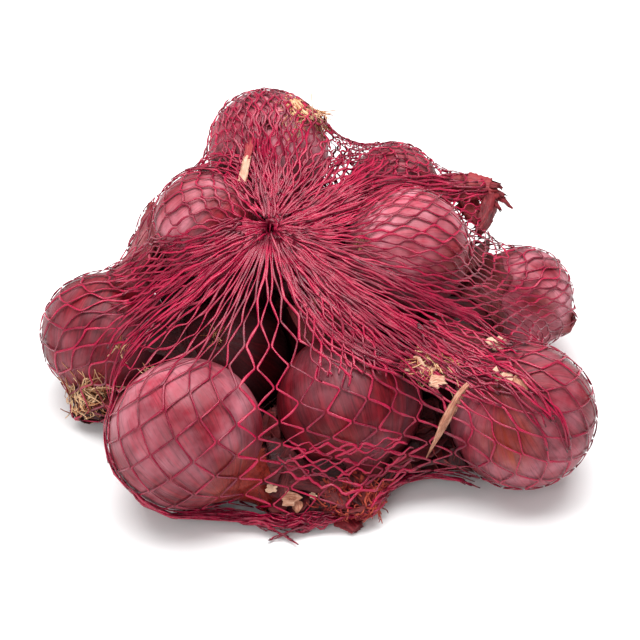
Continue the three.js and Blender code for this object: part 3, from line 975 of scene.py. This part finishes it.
# Tufts of root hair: the root, its spread, the way the hairs bend, how many, their lengths, radius and curl,
# how deep under the bag's surface they stay, and the share of them that come out through the net.
ROOT_TUFTS = [
    ((-7, 73, 118.5), 4.5, (0.5, -0.6, -0.5), 140, (9, 24), 0.4, 0.13, -0.5, 0.0),
    ((-6, 69, 118), 3.5, (-0.1, -0.8, -0.3), 40, (6, 16), 0.3, 0.16, 0.1, 0.0),
    ((-104, -17, 16), 6.0, (-0.1, -0.6, -0.3), 130, (8, 20), 0.4, 0.22, 0.6, 0.04),
    ((-102, -21, 20), 6.0, (0.5, -0.5, 0.3), 40, (8, 20), 0.36, 0.16, 0.6, 0.0),
    ((52, -44, 59), 4.5, (-0.2, -0.8, -0.3), 110, (7, 18), 0.42, 0.2, -0.8, 0.0),
    ((-83, -24, 48), 1.5, (0.3, -0.6, 0.5), 7, (7, 13), 0.5, 0.35, 0.9, 0.3),
]


def root_tufts():
    """Straw-coloured root hairs: the tufts that show through the net, and a short one on every onion."""
    rng = np.random.default_rng(21)
    shape = Shape()
    for tuft in ROOT_TUFTS:
        hairs(shape, rng, *tuft)
    for middle, neck, radius in zip(MIDDLES, NECKS, RADII):
        hairs(shape, rng, middle - neck * radius * HEIGHT_RATIO * 0.97, 2.6, -neck, 16, (2, 6), 0.28, 0.3)
    return shape.piece("root_hairs", ROOTS)


# Pale flakes: depth under the bag's surface, middle, facing, size, curl and how pale.
PALE_FLAKES = [
    (-0.9, (81, -37, 62), (0, -0.5, 0.85), 3.6, 1.5, 1.0),
    (-0.7, (84, -35, 61), (0.3, -0.5, 0.8), 2.4, -1.0, 0.9),
    (-0.8, (80, -57, 61), (0, -0.6, 0.8), 3.4, 1.6, 0.95),
    (-0.7, (84, -61, 61), (0.3, -0.6, 0.7), 3.6, -1.5, 0.7),
    (-0.5, (89, -63, 61), (0.1, -0.6, 0.8), 3.2, 1.2, 0.3),
    (-1.2, (46, -50, 61), (-0.2, -0.7, 0.6), 3.4, 2.0, 0.7),
    (-1.0, (50, -53, 59), (0.2, -0.7, 0.6), 3.6, -2.0, 0.45),
    (-1.0, (54, -57, 57), (0.2, -0.7, 0.6), 3.0, 2.0, 0.6),
    (0.3, (-9, -85, 14), (0.1, -0.8, 0.6), 3.2, 1.5, 0.45),
    (0.3, (-6, -86, 11.5), (-0.3, -0.8, 0.5), 2.6, 1.5, 0.2),
    (0.3, (-17, -84, 19), (0, -0.7, 0.7), 2.0, 1.0, 0.9),
    (0.3, (1, -84, 15), (0, -0.7, 0.7), 1.4, 0.6, 1.0),
    (0.3, (1, -28, 77.5), (0, -0.6, 0.8), 1.8, 1.0, 0.2),
]


def straw_necks():
    """The pale end of the neck by the top onion, the long neck in the right-hand gap, and pale flakes."""
    rng = np.random.default_rng(22)
    shape = Shape()
    husk(shape, rng, [(-29, 40, 108.8), (-30, 34, 106), (-31.2, 27.5, 103)], (3, 3.6, 4.2), (1.6, 1.8, 2),
         (0, -0.55, 0.83), 0.7, 4, 0.14, 0.06)
    husk(shape, rng, [(68, -59, 56.5), (64, -61.5, 53.5), (58, -69, 44.5), (51, -73.5, 30), (50, -73.5, 27)],
         (2.2, 2.8, 2.8, 1.4, 0.3), (1.8, 2.2, 2.2, 1.2, 0.3), (0.1, -0.8, 0.5), 0.4, 4, 0.4, 0.2)
    husk(shape, rng, [(66, -60, 53), (62.5, -65, 48), (58, -69.5, 41)], (1.4, 1.6, 0.5), (1, 1.2, 0.4),
         (0.5, -0.8, 0.3), 0.7, 3, 0.3, 0.8)
    for depth, *flake in PALE_FLAKES:
        leaf(shape, rng, *flake, lambda points: film.hold_inside(push_out(points, FLAKE_GAP), depth),
             rings=4, around=16, stretch=1.3)
    return shape.piece("straw_necks", STRAW)


FRAYED_TIPS = [  # torn strips at the end of the neck at the back right: start, end, width
    ((85, 57, 80), (91, 54, 77.5), 3.2), ((86, 56, 79), (94, 51, 73), 2.2),
    ((84, 57, 81), (88, 56, 82), 3.2), ((86, 55, 77), (91, 51.5, 76), 2.4),
    ((85, 54, 75), (89, 50, 72), 2.4), ((84, 58, 81), (90, 57, 79.5), 2.0),
]


def red_husks():
    """Dark red dried necks at the back right, the far right and the top, and a lump of skin on the floor."""
    rng = np.random.default_rng(23)
    shape = Shape()
    husk(shape, rng, [(56, 65, 73), (66, 62.5, 76), (76, 59.5, 78), (86, 57, 79.5)], (10, 12, 12, 8),
         (9, 9, 7, 3), (0, -0.6, 0.8), 0.5, 5, 0.25, 0.5, points=30, sides=30)
    husk(shape, rng, [(85, 56, 78), (83.5, 51, 73), (81, 45, 69), (78, 39, 66.5)], (7, 8, 7, 3.5),
         (3.5, 4, 4, 2.5), (0.5, -0.8, 0.3), 0.35, 4, 0.25, 0.4)
    husk(shape, rng, [(72, 56, 74), (76, 52, 70), (80, 48, 68)], (9, 10, 8), (4, 4, 3),
         (0.4, -0.7, 0.5), 0.6, 4, 0.25, 0.4)
    for start, end, width in FRAYED_TIPS:
        bend = np.mean([start, end], 0) + rng.normal(0, 1.0, 3)
        husk(shape, rng, [start, bend, end], (width, width * 0.9, width * 0.6), (1.1, 0.9, 0.4),
             (0, -0.6, 0.8), 0.3, 3, 0.3, 0.9, points=12, sides=10)
    husk(shape, rng, [(119, 27, 25), (123, 25, 26), (125, 22, 29)], (9, 8, 5), (4, 3.5, 2),
         (0.9, -0.4, 0.1), 0.3, 4, 0.25, 0.5, inside=0.4)
    husk(shape, rng, [(12, -80, 3), (17, -88, 2.6), (20, -92, 2.4)], (10, 11, 6), (5, 4.5, 3),
         (0, 0, 1), 0.35, 5, 0.2, 0.08)
    husk(shape, rng, [(-27.5, 49, 112.5), (-28.4, 43.5, 110.2), (-29.3, 38.5, 108.2)], (3.6, 3.4, 3),
         (1.8, 1.8, 1.5), (0, -0.55, 0.83), 0.95, 4, 0.14, 0.1)
    husk(shape, rng, [(-24, 53, 117), (-19, 53, 118.5), (-14, 52, 117.5)], (3, 4.5, 2), (1.5, 1.6, 0.7),
         (0, -0.5, 0.86), 0.2, 3, 0.25, 0.6, inside=0.3)
    return shape.piece("red_husks", RED_HUSK)


def broad_necks():
    """The broad dried necks of the left onion, behind the left shoulder one, and of the front left onion."""
    rng = np.random.default_rng(26)
    shape = Shape()
    husk(shape, rng, [(-89, 14, 46), (-83, 24, 60), (-76, 33, 72), (-70, 38, 82)], (32, 27, 19, 11),
         (22, 18, 12, 6), (-0.5, -0.5, 0.7), 0.3, 5, 0.06, 0.05, inside=0.9, points=34, sides=44)
    husk(shape, rng, [(-40, -74, 30), (-33, -80, 23), (-26, -84, 15), (-20, -86, 10)], (36, 32, 24, 13),
         (24, 18, 12, 5), (0.3, -0.8, 0.5), 0.3, 6, 0.07, 0.2, inside=1.0, points=34, sides=44)
    straw_bloom_and_sheen = ((0.1, 0.35), (0.75, 0.15))  # of each neck, whose straw grows towards its torn end
    shape.look = [triples(straw + 0.3 * look[:, 1], bloom_and_sheen, 0.0)
                  for look, (straw, bloom_and_sheen) in zip(shape.look, straw_bloom_and_sheen)]
    return shape.piece("broad_necks", SKIN)


def rust_husks():
    """The frayed orange-red neck under the front middle onion: a torn husk and many loose fibres."""
    rng = np.random.default_rng(24)
    shape = Shape()
    husk(shape, rng, [(25, -68, 16), (22, -74, 14), (18, -81, 10), (16, -86, 8)], (12, 15, 15, 11),
         (7, 7, 6, 4), (0.1, -0.5, 0.8), 0.6, 7, 0.25, 0.3, inside=0.9, points=26, sides=34)
    for x in (10, 16, 22, 28):
        for y, z in ((-77, 14), (-83, 9)):
            hairs(shape, rng, (x, y, z), 4.5, (0.03 * (x - 18), -0.6, -0.7), 105, (5, 12), 0.46, 0.34,
                  depth=0.2, stray=0.03, points=8)
    return shape.piece("rust_husks", RUST_HUSK)


# ---- stage, in metres ----
FLOOR_HALF = 3.0


def build_camera():
    data = bpy.data.cameras.new("camera")
    data.lens, data.sensor_width = 105, 36
    camera = placed("camera", data)
    camera.location = (CAMERA_TARGET + CAMERA_BACK * CAMERA_DISTANCE) * MM
    camera.rotation_euler = (math.pi / 2 - CAMERA_ELEVATION, 0, 0)
    bpy.context.scene.camera = camera


def build_light(name, place, aim, width, depth, power):
    data = bpy.data.lights.new(name, "AREA")
    data.shape, data.size, data.size_y, data.energy = "RECTANGLE", width, depth, power
    light = placed(name, data)
    light.location = place
    light.rotation_euler = (Vector(aim) - Vector(place)).to_track_quat("-Z", "Y").to_euler()


def build_stage():
    world = bpy.data.worlds.new("studio")
    world.use_nodes = True
    background = world.node_tree.nodes["Background"]
    background.inputs["Color"].default_value = (1, 1, 1, 1)
    background.inputs["Strength"].default_value = 0.55
    bpy.context.scene.world = world
    bpy.context.scene.view_settings.view_transform = "Standard"
    build_light("overhead", (-0.02, 0.13, 1.0), (0, -0.02, 0.03), 1.3, 0.7, 19.5)
    build_light("front", (-0.3, -0.85, 0.6), (0, 0, 0.04), 0.5, 0.5, 3)
    look = Look("floor_paper", Roughness=0.9)
    white = look.ramp(look.noise(look.place(), 40.0, 3.0), (0.3, 0.86), (0.7, 0.88))
    mesh = bpy.data.meshes.new("floor")
    corners = [(x * FLOOR_HALF, y * FLOOR_HALF, 0) for x, y in ((-1, -1), (1, -1), (1, 1), (-1, 1))]
    mesh.from_pydata(corners, [], [(0, 1, 2, 3)])
    mesh.materials.append(look.finish(Base_Color=white))
    placed("floor", mesh)


# ---- build ----
build_camera()
build_stage()
for number in range(len(ONIONS)):
    onion(number)
net_rng = np.random.default_rng(7)
strand_lines, strand_facings = net_strands(relaxed_knots(), net_rng)
right_strands = net_piece("net_right_strands", strand_lines[:COLUMNS], strand_facings[:COLUMNS], net_rng)
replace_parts(right_strands, "filled_net")
net_piece("net_left_strands", strand_lines[COLUMNS:], strand_facings[COLUMNS:], net_rng)
for kind, rows in (("fold", FOLDS), ("layer", LAYERS), ("hem", HEMS)):
    net_piece(f"net_{kind}s", *folded_strands(rows, kind, net_rng), net_rng)
knot_piece("knot_front", FRONT_END, "gather_front", net_rng)
knot_piece("knot_back", BACK_END, "gather_back", net_rng)
loose_skins_as_shade()
root_tufts()
straw_necks()
red_husks()
broad_necks()
rust_husks()
